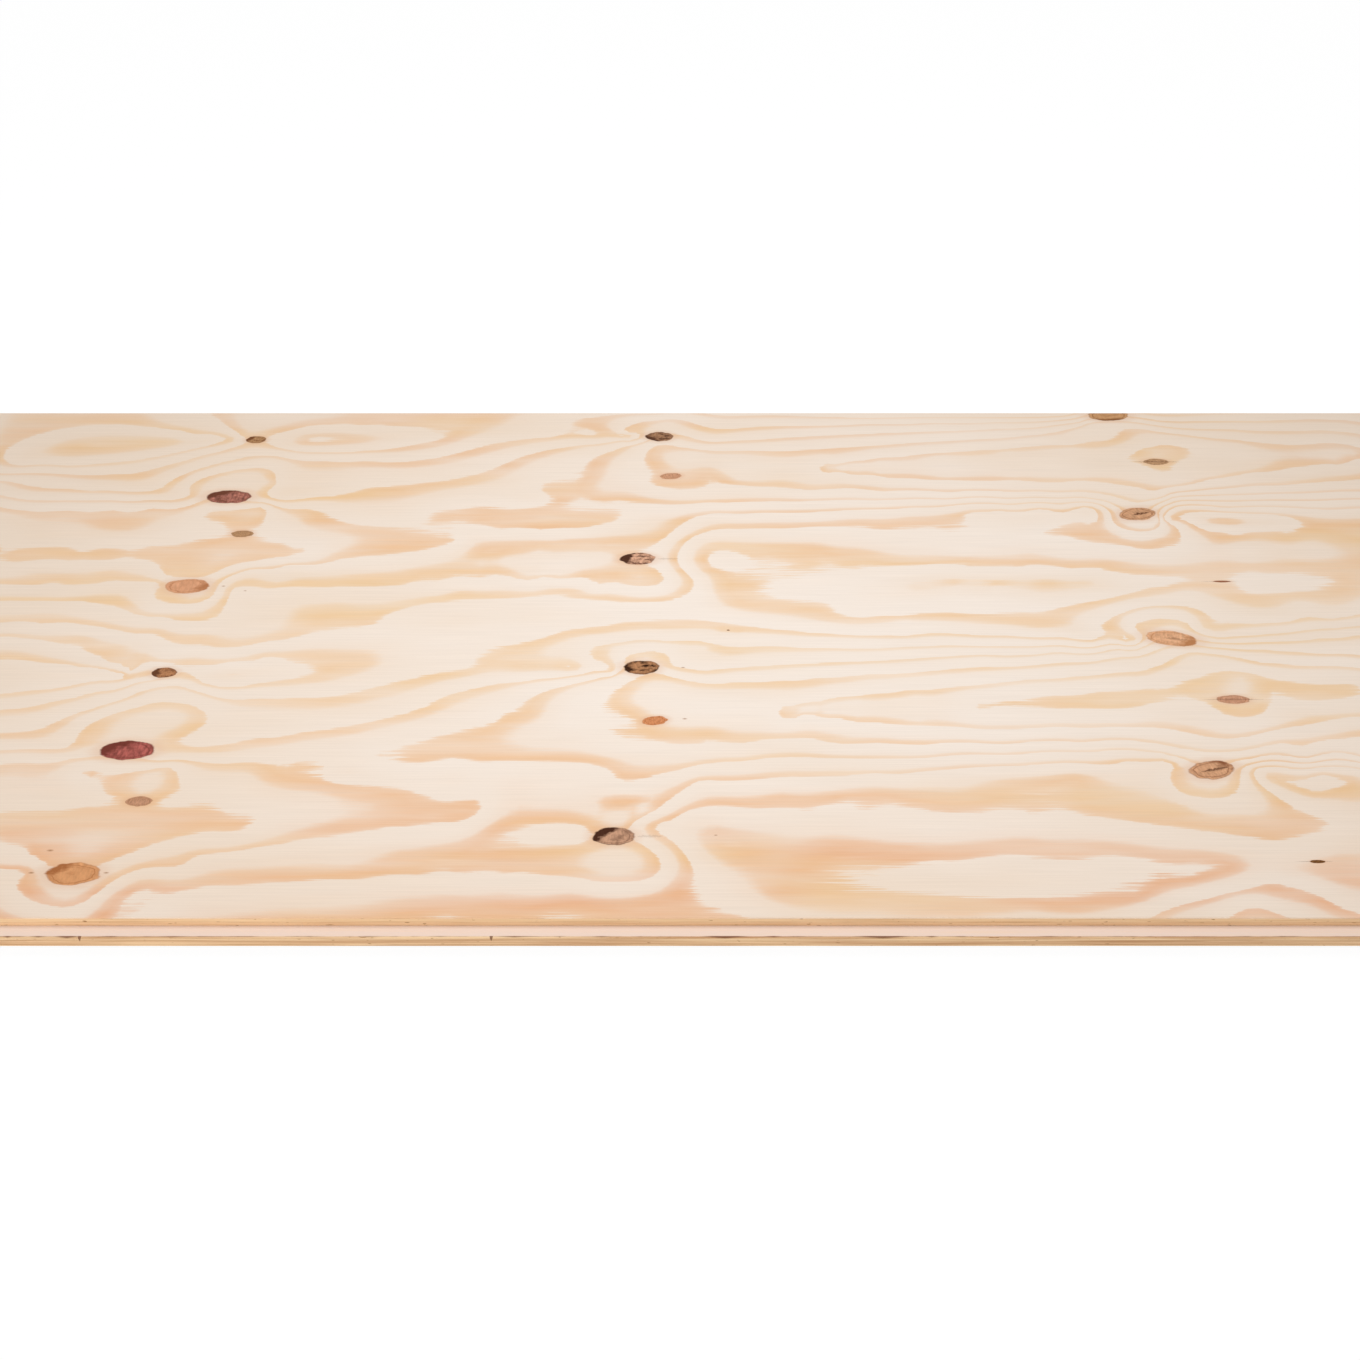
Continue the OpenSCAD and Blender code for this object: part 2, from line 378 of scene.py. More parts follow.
# single heights inside the broad patches: x, y, ring number
ringHeights = [
    (-465, 258, 4.8), (-440, 260, 4.88), (-415, 261, 4.88), (-392, 262, 4.75), (-370, 262, 4.45),
    (-350, 262, 4.05), (-450, 293, 3.85), (-425, 299, 3.7), (-400, 301, 3.3), (-520, 290, 3.7),
    (-525, 270, 3.7), (-250, 265, 3.85), (-265, 268, 3.9), (-285, 262, 4.05), (-225, 266, 3.5),
    (-165, 285, 2.9), (-150, 285, 2.75), (-130, 285, 2.45), (-105, 285, 2.15), (-200, 297, 2.85),
    (-250, 297, 2.85), (-300, 300, 2.45), (-415, 140, -0.12), (-395, 138, -0.15), (-370, 140, -0.5),
    (-455, 138, -0.4), (-460, 115, -0.6), (-400, 112, -0.7), (-190, 110, -0.1), (-205, 105, -0.15),
    (-215, 115, -0.2), (-240, 112, -0.5), (-265, 140, -0.12), (-282, 143, -0.45), (-250, 105, -0.6),
    (-285, 130, -0.7), (-332, 142, -1.1), (-315, 145, -1.3), (-335, 203, 0.5), (-318, 206, 0.55),
    (-352, 192, 0.5), (-306, 195, 0.7), (-300, 97, -1.15), (-340, 95, -1.18), (-330, 103, -1.2),
    (-350, 80, -1.14), (-345, 70, -1.16), (-380, 90, -1.1), (-430, 90, -1.14), (-510, 90, -1.14),
    (-490, 90, -1.14), (-470, 90, -1.14), (-450, 90, -1.14), (-410, 91, -1.14), (-430, 62, -0.15),
    (-400, 65, -0.2), (-450, 75, -0.6), (-400, 76, -0.6), (-450, 44, 0.35), (-385, 33, 0.8),
    (-350, 15, 0.8), (-335, 21, 0.45), (-350, 35, -0.1), (-180, 68, 0.88), (-160, 68, 0.93),
    (-140, 70, 0.92), (-125, 70, 0.85), (-108, 66, 0.6), (-95, 68, 0.5), (-82, 67, 0.55), (-100, 76, 0.45),
    (-215, 60, 0.8), (-240, 62, 0.65), (-280, 60, 0.4), (-65, 64, 0.88), (-45, 66, 0.85), (-30, 62, 0.65),
    (-20, 66, 0.8), (-140, 91, 0.9), (-125, 96, 0.93), (-100, 103, 0.95), (-75, 104, 0.95),
    (-50, 102, 0.95), (-32, 101, 0.95), (-103, 86, 0.45), (-85, 88, 0.4), (-62, 84, 0.42), (-122, 83, 0.5),
    (-140, 80, 0.62), (-100, 94, 0.55), (-75, 95, 0.55), (-52, 93, 0.55), (-235, 20, 1.85),
    (-255, 15, 1.75), (-275, 15, 1.45), (-300, 20, 1.25), (-150, 42, 1.8), (-75, 44, 1.85), (-100, 52, 1.3),
    (-50, 44, 1.55), (-430, 10, 1.85), (-350, -4, 1.8), (-320, -13, 1.8), (-345, 2, 1.35),
    (-145, 146, -0.1), (-110, 142, -0.13), (-75, 142, -0.1), (-25, 140, 0.4), (-200, 150, 0.3),
    (-150, 115, 0.35), (-90, 115, 0.5), (-110, 168, 0.3), (-150, 180, 0.35), (-90, 185, -0.1),
    (-75, 183, -0.12), (-58, 187, -0.45), (-40, 190, -0.6), (-65, 212, -0.12), (-52, 220, -0.45),
    (-40, 232, -0.65), (22, 210, -1.12), (75, 193, -1.2), (5, 226, -1.65), (35, 225, -1.7),
    (60, 212, -1.72), (45, 205, -1.6), (10, 236, -1.6), (-20, 225, -1.12), (-10, 230, -1.45),
    (113, 216, -2.35), (122, 217, -2.45), (135, 217, -2.5), (150, 211, -2.42), (150, 224, -2.42),
    (170, 218, -2.55), (200, 205, -2.42), (200, 233, -2.42), (250, 205, -2.42), (250, 239, -2.42),
    (250, 222, -2.6), (300, 204, -2.42), (300, 245, -2.42), (450, 237, -2.5), (400, 206, -2.42),
    (400, 260, -2.45), (430, 216, -2.42), (430, 252, -2.45), (480, 237, -2.45), (500, 231, -2.4),
    (500, 245, -2.4), (518, 240, -2.4), (360, 242, -3.3), (375, 244, -3.3), (-20, 284, 0.6), (5, 280, 0.55),
    (18, 268, 0.4), (-70, 286, 1.88), (-54, 285, 1.5), (390, 138, 3.85), (402, 138, 3.85), (428, 137, 3.4),
    (470, 132, 2.9), (440, 116, 2.9), (400, 115, 2.88), (385, 112, 2.8), (450, 100, 2.4), (372, 112, 2.4),
    (165, 138, 1.88), (190, 138, 1.92), (130, 140, 1.75), (75, 140, 1.5), (225, 138, 2.15), (240, 120, 2.2),
    (290, 128, 1.88), (320, 108, 1.85), (345, 112, 1.85), (312, 125, 1.5), (332, 132, 0.5), (160, 52, 3.6),
    (190, 53, 3.68), (220, 54, 3.74), (255, 55, 3.72), (285, 57, 3.6), (190, 44, 3.42), (220, 44, 3.42),
    (220, 64, 3.42), (255, 65, 3.42), (120, 45, 3.3), (150, 25, 3.2), (300, 58, 3.3), (40, 84, 3.15),
    (40, 50, 2.93), (30, 45, 2.85), (50, 40, 2.95), (45, 30, 2.92), (21, 50, 2.55), (14, 40, 2.2),
    (72, 27, 2.92), (88, 20, 2.88), (60, 14, 2.6), (40, 14, 2.45), (100, 10, 2.85), (150, 8, 2.8),
    (200, 10, 2.85), (150, 2, 2.45), (60, 95, 2.93), (90, 85, 2.93), (45, 104, 2.75), (28, 108, 2.7),
    (100, 95, 2.9), (130, 88, 2.88), (110, 106, 2.55), (150, 100, 2.45), (200, 95, 2.45), (200, 86, 2.85),
    (250, 88, 2.75), (300, 79, 2.85), (225, 107, 2.25), (400, 75, 2.85), (450, 73, 2.85), (462, 55, 2.9),
    (440, 35, 2.88), (400, 33, 2.85), (375, 70, 2.85), (370, 40, 2.75), (385, 25, 2.6), (425, 20, 2.25),
    (400, 95, 2.3), (350, 36, 2.35), (355, 0, 1.85), (340, 15, 1.45), (322, 3, 0.88), (-400, -14, 2.85),
    (-375, -27, 2.85), (-355, -40, 2.85), (-340, -35, 2.5), (-420, -5, 2.4), (-410, -57, 4.35),
    (-380, -57.5, 4.3), (-363, -57.5, 4.15), (-290, -55, 3.6), (-270, -54, 3.35), (-225, -45, 2.88),
    (-205, -45, 2.75), (-185, -40, 2.4), (-250, -33, 2.85), (-275, -32, 2.8), (-320, -38, 2.7),
    (-150, -20, 2.15), (-120, 5, 2.25), (-150, 12, 2.35), (-60, 15, 2.3), (-350, -117, 0.5),
    (-325, -110, 0.4), (-312, -106, 0.6), (-365, -122, 0.75), (-375, -175, -0.5), (-400, -175, -0.5),
    (-355, -185, -0.8), (-150, -138, -0.12), (-125, -130, -0.15), (-110, -122, -0.35), (-88, -125, -0.6),
    (-96, -98, -0.12), (-65, -110, -0.8), (-145, -200, -0.08), (-165, -195, -0.12), (-185, -195, -0.35),
    (-220, -195, -0.65), (-205, -151, 0.22), (-205, -160, 0.35), (-245, -165, -0.1), (-265, -165, -0.5),
    (-100, -170, 0.45), (-100, -190, 0.5), (-84, -193, 0.5), (-75, -197, 0.58), (-140, -168, 0.4),
    (-34, -187, 0.88), (-34, -195, 0.88), (-42, -191, 0.84), (-26, -190, 0.84), (-56, -186, 0.45),
    (-52, -199, 0.5), (-34, -207, 0.5), (-48, -177, 0.35), (-20, -181, 0.5), (-20, -199, 0.55),
    (-345, -172, -1.1), (-325, -170, -1.52), (-322, -178, -1.48), (-395, -212, -1.12), (-340, -210, -1.26),
    (-280, -208, -1.12), (-310, -212, -1.3), (-345, -232, -1.4), (-330, -226, -1.35), (-362, -238, -1.25),
    (-392, -246, -0.5), (-384, -247, -0.48), (-392, -258, 0.3), (-370, -272, -0.1), (-345, -277, -0.4),
    (-320, -280, 0.85), (-78, -221, 1.15), (-120, -235, 0.92), (-90, -242, 0.9), (-140, -240, 0.88),
    (-165, -235, 0.6), (-190, -240, 0.4), (-70, -240, 0.85), (-54, -246, 0.55), (-40, -248, 0.4),
    (-75, -206, 0.85), (-110, -214, 0.8), (-115, -38, 1.85), (-100, -35, 1.75), (-84, -33, 1.5),
    (-100, -50, 1.94), (-70, -52, 1.9), (-60, -7, 1.85), (-30, 0, 1.85), (10, 3, 1.88), (-50, -12, 1.55),
    (20, -10, 1.45), (-54, -32, 0.9), (-43, -29, 0.5), (15, -26, 0.6), (240, -165, 1.85), (240, -180, 1.9),
    (200, -170, 1.75), (170, -172, 1.5), (150, -176, 1.6), (120, -177, 1.75), (100, -182, 1.87),
    (60, -176, 1.45), (285, -178, 1.5), (268, -162, 1.3), (300, -190, 1.55), (300, -203, 1.8),
    (330, -207, 1.8), (360, -202, 1.88), (345, -192, 1.4), (320, -172, 0.45), (360, -163, 2.85),
    (390, -162, 2.9), (380, -184, 2.85), (405, -176, 2.9), (390, -195, 2.4), (15, -123, -1.12),
    (45, -126, -1.15), (-10, -121, -1.2), (-40, -88, -1.12), (-28, -86, -1.45), (5, -83, -1.7),
    (0, -103, -1.65), (25, -98, -1.75), (35, -110, -1.6), (70, -98, -2.35), (80, -97, -2.45),
    (95, -96, -2.5), (110, -100, -2.45), (110, -89, -2.45), (130, -96, -2.55), (150, -106, -2.42),
    (150, -83, -2.42), (160, -95, -2.6), (200, -110, -2.42), (200, -75, -2.42), (250, -108, -2.42),
    (250, -68, -2.42), (300, -105, -2.5), (300, -62, -2.42), (400, -96, -2.6), (365, -66, -3.45),
    (330, -76, -3.15), (410, -76, -3.15), (25, -225, 2.93), (45, -232, 2.85), (55, -246, 2.72),
    (80, -258, 2.94), (60, -268, 2.9), (110, -245, 2.94), (90, -230, 2.8), (70, -216, 2.45),
    (200, -233, 2.88), (250, -235, 2.9), (300, -243, 2.92), (318, -251, 2.9), (150, -281, 2.9),
    (210, -284, 2.9), (260, -277, 2.9), (290, -263, 2.92), (110, -285, 2.75), (50, -284, 2.5),
    (200, -294, 2.5), (150, -215, 2.25), (30, -205, 2.25), (350, -258, 2.45), (375, -256, 2.85),
    (190, -260, 3.3), (0, -265, 1.88), (-100, -283, 1.85), (-160, -285, 1.8), (-40, -283, 1.85),
    (-130, -277, 1.72), (-70, -276, 1.72), (-20, -277, 1.74), (-100, -267, 1.4), (-60, -270, 1.5),
    (-100, -297, 1.9), (-160, -297, 1.88), (-40, -297, 1.9), (-210, -297, 1.8), (0, -285, 1.9),
    (-150, -268, 1.35), (-275, -282, 1.3), (-225, -287, 1.6), (340, -275, 1.85), (320, -280, 1.45),
]

# Knots of the face, in board mm: middle, half sizes along and across, turn in degrees, colours of the heart
# and the rim, way and strength of the dark end, share of dark mottles, a crack from one place to another in
# radii with its share, and how plain the marks of the knife are.
knots = [
    (-328, 261, 7.8, 5.6, 0, "B6895F", "744729", (-0.7, 0.3), 0.7, (0, 0, 0), 0.6),
    (-334, 173, 16.4, 9.8, 0, "B07161", "693C2A", (-0.65, 0.6), 0.7, (0, 0, 0), 1.3),
    (-315, 120, 8, 4.6, 0, "B68B65", "98704C", (0, 0), 0.15, (0, 0, 0), 0.6),
    (-341, 50, 15, 9.6, 0, "DDA27C", "B4764E", (0.5, 0), 0.15, (0, 0, 0), 0.35),
    (-336, -55, 8.4, 5.8, 0, "B98159", "603A24", (-0.9, 0.1), 0.7, (0, 0, 0), 0.6),
    (-342, -139, 17, 9.8, 0, "AE5E55", "71362B", (-0.75, 0.5), 0.4, (0, 0, 0), 1.1),
    (-324, -190, 8, 4.8, 0, "C39172", "A4744F", (0, 0), 0.2, (0, 0, 0), 0.6),
    (-348, -257, 16, 9.8, 0, "DB9D6C", "A9683C", (-0.5, 0.4), 0.3, (0, 0, 0), 0.35),
    (-16, 266, 10.6, 7.4, 0, "A87C5C", "563524", (-0.6, -0.4), 0.95, (0, 0, 0), 0.6),
    (-7, 204, 8, 4.6, 8, "CC9877", "B27C5A", (0, 0), 0.15, (0, 0, 0), 0.6),
    (-30, 86, 12.2, 7.8, 0, "E2AE8F", "3A1400", (-1.0, 0.2), 0.85, (1.1, 2.4, 0.22), 0.6),
    (-25, -49, 11.7, 8, 0, "B8835C", "2A0E00", (-0.6, 0), 1.0, (0, 0, 0), 0.6),
    (-16, -108, 7.9, 4.8, 8, "D68E60", "B0663A", (0, 0), 0.3, (0, 0, 0), 0.6),
    (-39, -223, 12.2, 8.5, 0, "CA9B7D", "381200", (-0.85, 0.65), 0.45, (1.1, 2.4, 0.22), 0.6),
    (338, 301, 16.2, 9, 0, "CD9B6D", "8C5D38", (0, -0.6), 0.3, (0, 0, 0), 0.35),
    (362, 226, 9.4, 4.8, 0, "BF956F", "8F6543", (0, 0), 0.35, (-1.9, 1.9, 0.6), 0.6),
    (334, 148, 13.6, 8.8, 15, "D09E78", "8A5638", (0, 0), 0.2, (-0.3, 0.7, 1), 0.6),
    (376, 56, 6.5, 1.2, 0, "A87054", "6C3F2C", (0, 0), 0.3, (-2.4, 1.8, 0.8), 0.6),
    (328, -15, 17, 8.8, -12, "E3AE86", "B87C50", (0.6, -0.2), 0.2, (-0.3, 0.6, 0.45), 0.6),
    (354, -85, 10.6, 4.8, 0, "D09C7D", "A06848", (0, 0), 0.35, (-1.9, 1.9, 0.4), 0.6),
    (325, -159, 14.2, 9, 15, "D5A17B", "8A5536", (0.4, 0.3), 0.2, (-0.5, 0.8, 0.9), 0.6),
    (368, -246, 4.4, 1.5, 0, "8C5E34", "3A1E0C", (0, 0), 0.7, (-3.2, 2.2, 0.75), 0.6),
    (32, -5, 1.5, 1.3, 0, "8A6448", "6A4630", (0, 0), 0.3, (0, 0, 0), 0.6),
]

# The figure of the face is read where the photograph shows it. Beyond that it goes on as a mirrored copy.
figure = {
    "seenHalf": (520, 620),  # mm from the middle, where the read figure fades into the copy
    "copyShift": 960,  # mm
    "splineUnit": 100,  # mm, keeps the spline's numbers near 1
    "smoothing": 2e-4,
    "knotReach": (2.5, 4.0),  # radii over which a knot's own coordinates fade out
    "closeRings": (0.015, 0.08),  # rings per mm, from broad patches to close lines
    "closeShare": 0.58,  # how strong the close lines still are
    "knotPull": 0.35,  # how much stronger lines are beside a knot
    "pullReach": (1.5, 7.0),  # radii over which that fades out
}


def plateBend(gap):
    return gap * gap * np.log(np.maximum(gap, 1e-9))


# thin plate spline through all ring heights
def fitRings():
    samples = [(x, y, level) for level, line in ringLines for x, y in line] + list(ringHeights)
    samples = np.array(samples, float)
    places, heights = samples[:, :2] / figure["splineUnit"], samples[:, 2]
    count = len(places)
    gaps = np.hypot(places[:, None, 0] - places[None, :, 0], places[:, None, 1] - places[None, :, 1])
    system = np.zeros((count + 3, count + 3))
    system[:count, :count] = plateBend(gaps) + figure["smoothing"] * np.eye(count)
    system[:count, count] = system[count, :count] = 1
    system[:count, count + 1:] = places
    system[count + 1:, :count] = places.T
    weights = np.linalg.solve(system, np.concatenate([heights, np.zeros(3)]))
    return places, weights


def ringHeightAt(rings, x, y):
    places, weights = rings
    px, py = x / figure["splineUnit"], y / figure["splineUnit"]
    total = weights[-3] + weights[-2] * px + weights[-1] * py
    for (cx, cy), weight in zip(places, weights):
        total += weight * plateBend(np.hypot(px - cx, py - cy))
    return total


def smoothStep(value, low, high):
    t = np.clip((value - low) / (high - low), 0, 1)
    return t * t * (3 - 2 * t)


# ring height over the whole face, with the mirrored copies at both ends
def wholeFigure(rings, x, y):
    share = smoothStep(np.abs(x), *figure["seenHalf"])
    height = np.zeros(len(x))
    inner, outer = share < 1, share > 0
    height[inner] = ringHeightAt(rings, x[inner], y[inner])
    copyX = x[outer] - np.sign(x[outer]) * figure["copyShift"]
    copied = ringHeightAt(rings, copyX, -y[outer])
    height[outer] += (copied - height[outer]) * share[outer]
    return height


# the knots as read, and those of the copies that lie outside the seen stretch
def allKnots():
    placed = list(knots)
    for side in (-1, 1):
        for x, y, along, across, turn, *looks in knots:
            shifted = x + side * figure["copyShift"]
            if abs(shifted) > figure["seenHalf"][0]:
                placed.append((shifted, -y, along, across, -turn, *looks))
    return placed


# each vertex learns its ring height and strength, and its place in the nearest knot in that knot's radii
def markFigure(piece):
    mesh = piece.data
    count = len(mesh.vertices)
    co = np.zeros(count * 3)
    mesh.vertices.foreach_get("co", co)
    co = co.reshape(-1, 3) / mm
    below = co[:, 2] < middleZ
    x = np.where(below, -co[:, 0], co[:, 0])  # the underside is the same figure turned end for end
    y = np.where(below, -co[:, 1], co[:, 1])
    onFace = np.abs(co[:, 2] - middleZ) > middleZ - board["faceDepth"]
    rings = fitRings()
    height, strength = np.zeros(count), np.ones(count)
    height[onFace] = wholeFigure(rings, x[onFace], y[onFace])
    ringsPerMm = np.abs(wholeFigure(rings, x[onFace], y[onFace] + 1) - height[onFace])
    strength[onFace] -= (1 - figure["closeShare"]) * smoothStep(ringsPerMm, *figure["closeRings"])

    near, knife = np.zeros((2, count))
    place, dark, crack = np.zeros((3, count, 3))
    heart, rim = np.ones((2, count, 4))
    nearest = np.full(count, np.inf)
    for number, knot in enumerate(allKnots()):
        kx, ky, along, across, turn, heartCode, rimCode, darkEnd, mottle, crackRun, knifeShare = knot
        c, s = math.cos(math.radians(turn)), math.sin(math.radians(turn))
        u = ((x - kx) * c + (y - ky) * s) / along
        v = ((y - ky) * c - (x - kx) * s) / across
        reach = np.hypot(u, v)
        mine = (reach < nearest) & onFace
        nearest[mine] = reach[mine]
        near[mine] = 1 - smoothStep(reach[mine], *figure["knotReach"])
        place[mine] = np.stack([u[mine], v[mine], np.full(mine.sum(), number)], axis=1)
        heart[mine] = hexColour(heartCode)
        rim[mine] = hexColour(rimCode)
        dark[mine] = (*darkEnd, mottle)
        crack[mine] = crackRun
        knife[mine] = knifeShare

    # lines are stronger beside a knot than above and below it
    beside = np.abs(place[:, 0]) / np.maximum(nearest, 1e-6)
    pull = figure["knotPull"] * beside ** 2 * (1 - smoothStep(nearest, *figure["pullReach"]))
    strength = np.minimum(1, strength + pull)
    marks = [
        ("ringHeight", "FLOAT", "value", height),
        ("ringStrength", "FLOAT", "value", strength),
        ("knotNear", "FLOAT", "value", near),
        ("knotKnife", "FLOAT", "value", knife),
        ("knotPlace", "FLOAT_VECTOR", "vector", place),
        ("knotDark", "FLOAT_VECTOR", "vector", dark),
        ("knotCrack", "FLOAT_VECTOR", "vector", crack),
        ("knotHeart", "FLOAT_COLOR", "color", heart),
        ("knotRim", "FLOAT_COLOR", "color", rim),
    ]
    for name, kind, field, values in marks:
        mesh.attributes.new(name, kind, "POINT").data.foreach_set(field, values.ravel())
    print("figure marked on", int(onFace.sum()), "vertices")


# Pine veneer, rotary peeled and sanded: pale earlywood fades to tan latewood, which ends sharply on one side.
veneer = {
    "noises": {  # size in mm along, across and through the board, where 0 leaves an axis out, and detail
        "fibre": ((60, 0.9, 0), 4.0),  # drawn coarser than the real 0.04 mm tracheids so that it shows
        "ragged": ((22, 2.2, 0), 3.0),  # steps in the ring lines where the knife cut across the fibres
        "band": ((160, 18, 0), 3.0),  # slow changes of strength along and across the bands
        "cloud": ((250, 1000 / 14, 0), 3.0),  # slow changes of the pale ground
    },
    "earlywood": "F7EADE",
    # tone of the pale ground where the clouds deepen it, and painted shade away from the painted pool of
    # light
    "earlywoodCloudAndPaintedShade": "F2DFCC",
    "paintedPoolReach": (0.55, 0.36),  # m along and across, over which the painted pool of light fades: the sheet is painted palest near its middle
    "paintedPoolShift": 0.08,  # m to the right of the middle, where the painted pool of light sits
    "cloudShade": 1.6,
    "cloudAndPaintedShadeRange": {"From Min": 0.9, "From Max": 1.9},
    "latewood": [  # share of the way from tongue to groove, tone there
        (0.03, "EDB892"), (0.2, "F1C59E"), (0.35, "F3D0AB"), (0.54, "F3D0AB"), (0.7, "F0C59D"), (1, "EFCBAC"),
    ],
    "latewoodYellow": "F1CE9F",
    "yellowRange": {"From Min": 0.45, "From Max": 0.65, "To Max": 0.7},
    "ringProfile": [  # place in the ring, share of latewood there
        (0, 0), (0.25, 0.03), (0.56, 0.16), (0.7, 0.74), (0.9, 1), (0.97, 0.85), (1, 0.3),
    ],
    "closeThinning": 1.6,  # how much narrower the latewood is where rings lie close
    "bandStrength": {"From Min": 0.32, "From Max": 0.62, "To Min": 0.55, "To Max": 1.05},
    "fibreTone": {"From Min": 0.25, "From Max": 0.75, "To Min": 0.95, "To Max": 1.03},
    "feather": 0.16,  # rings, how far single fibres reach over a ring line
    "raggedSteps": 0.11,  # rings
    "edgeWear": "E6BC92",
    "edgeWearReach": 2.0,  # mm, how ragged the worn margin is
    "edgeWearRange": (-0.5, 2.0),  # mm past the long edge, from unworn to fully worn
    "edgeWearShare": 0.4,
    "roughness": (0.6, 0.72),  # latewood is denser and a little smoother
    "knotDip": -1.5,  # dark parts of knots lie deeper, in heights of the fibre
    "relief": 0.15,
    "reliefDepth": 0.2,  # mm
    "ior": 1.5,
    "specular": 0.04,  # raw sanded wood hardly shines
}

# pin knots and resin specks: x, y, radius in mm
specks = [
    (-316, 50, 1.2), (-329, -256, 1.4), (-372, -256, 1.6), (2, -49, 1.2), (3, -106, 1.4), (21, -222, 1.0),
    (-366, -236, 1.8), (-300, 44, 1.0),
]


# growth rings, fibres, worn margins and a painted pool of light, without the knots
def veneerWood(tree, coords):
    ring, ringStrength = [
        addNode(tree, "Attribute", out="Fac", attribute_name=name) for name in ("ringHeight", "ringStrength")
    ]

    noises = []
    for sizes, detail in veneer["noises"].values():
        scale = [1 / (size * mm) if size else 0 for size in sizes]
        stretched = addNode(tree, "Mapping", {"Vector": coords, "Scale": scale})
        noises.append(addNode(tree, "TexNoise", {"Vector": stretched, "Scale": 1.0, "Detail": detail}))
    fibre, ragged, band, cloud = noises

    # the ring lines step and feather along the fibres
    steps, feather = veneer["raggedSteps"], veneer["feather"]
    stepped = addNode(tree, "Math", {0: ragged, 1: steps, 2: ring}, operation="MULTIPLY_ADD")
    feathered = addNode(tree, "Math", {0: fibre, 1: feather, 2: stepped}, operation="MULTIPLY_ADD")
    wavy = addNode(tree, "Math", {0: feathered, 1: (steps + feather) / 2}, operation="SUBTRACT")
    phase = addNode(tree, "Math", {0: wavy}, operation="FRACT")

    # earlywood fades into latewood, and starts again at a nearly sharp line
    closeness = addNode(tree, "Math", {0: 1.0, 1: ringStrength}, operation="SUBTRACT")
    squeeze = addNode(tree, "Math", {0: closeness, 1: -veneer["closeThinning"]}, operation="MULTIPLY")
    early = addNode(tree, "Math", {0: 1.0, 1: phase}, operation="SUBTRACT")
    latePlace = addNode(tree, "Math", {0: early, 1: squeeze, 2: phase}, operation="MULTIPLY_ADD")
    shares = [(place, (share, share, share, 1)) for place, share in veneer["ringProfile"]]
    profile = addNode(tree, "ValToRGB", {"Fac": latePlace}, stops=shares)
    bandShare = addNode(tree, "MapRange", {"Value": band, **veneer["bandStrength"]})
    fullLate = addNode(tree, "Math", {0: profile, 1: ringStrength}, operation="MULTIPLY")
    late = addNode(tree, "Math", {0: fullLate, 1: bandShare}, operation="MULTIPLY")

    # pale ground: cloudy, with a painted pool of light that keeps it palest near the middle and leaves it
    # warmer away from it
    paintedPoolLength, paintedPoolWidth = veneer["paintedPoolReach"]
    # place within the painted pool of light, measured in its own reach
    fromMiddle = addNode(tree, "Mapping", {
        "Vector": coords,
        "Location": (-veneer["paintedPoolShift"] / paintedPoolLength, 0, 0),
        "Scale": (1 / paintedPoolLength, 1 / paintedPoolWidth, 0),
    })
    outOfPaintedPool = addNode(tree, "VectorMath", {0: fromMiddle}, operation="LENGTH")
    cloudAndPaintedShade = addNode(tree, "Math", {0: cloud, 1: veneer["cloudShade"], 2: outOfPaintedPool}, operation="MULTIPLY_ADD")
    cloudAndPaintedShadeShare = addNode(tree, "MapRange", {"Value": cloudAndPaintedShade, **veneer["cloudAndPaintedShadeRange"]})
    pale = addNode(tree, "Mix", {
        "Factor": cloudAndPaintedShadeShare, "A": hexColour(veneer["earlywood"]), "B": hexColour(veneer["earlywoodCloudAndPaintedShade"]),
    }, data_type="RGBA")

    # tan of the latewood changes across the sheet, and is yellower in places
    side = addNode(tree, "SeparateXYZ", {"Vector": coords}, out="Y")
    acrossSheet = addNode(tree, "MapRange", {
        "Value": side, "From Min": shoulderY * mm, "From Max": backY * mm,
    })
    tones = [(place, hexColour(code)) for place, code in veneer["latewood"]]
    plainTan = addNode(tree, "ValToRGB", {"Fac": acrossSheet}, stops=tones)
    yellowShare = addNode(tree, "MapRange", {"Value": cloud, **veneer["yellowRange"]})
    tan = addNode(tree, "Mix", {
        "Factor": yellowShare, "A": plainTan, "B": hexColour(veneer["latewoodYellow"]),
    }, data_type="RGBA")
    wood = addNode(tree, "Mix", {"Factor": late, "A": pale, "B": tan}, data_type="RGBA")

    # fibres show as fine streaks of tone
    fibreTone = addNode(tree, "MapRange", {"Value": fibre, **veneer["fibreTone"]})
    fibred = addNode(tree, "VectorMath", {0: wood, 1: fibreTone}, operation="MULTIPLY")

    # both long margins are rubbed darker by handling, in a ragged line
    middleY, halfWidth = (shoulderY + backY) / 2 * mm, (backY - shoulderY) / 2 * mm
    unworn, fullyWorn = veneer["edgeWearRange"]
    aside = addNode(tree, "Math", {0: side, 1: middleY}, operation="SUBTRACT")
    sideways = addNode(tree, "Math", {0: aside}, operation="ABSOLUTE")
    raggedSide = addNode(tree, "Math", {
        0: ragged, 1: veneer["edgeWearReach"] * mm, 2: sideways,
    }, operation="MULTIPLY_ADD")
    wear = addNode(tree, "MapRange", {
        "Value": raggedSide, "From Min": halfWidth + unworn * mm, "From Max": halfWidth + fullyWorn * mm,
        "To Max": veneer["edgeWearShare"],
    })
    worn = addNode(tree, "Mix", {
        "Factor": wear, "A": fibred, "B": hexColour(veneer["edgeWear"]),
    }, data_type="RGBA")
    return worn, fibre, late


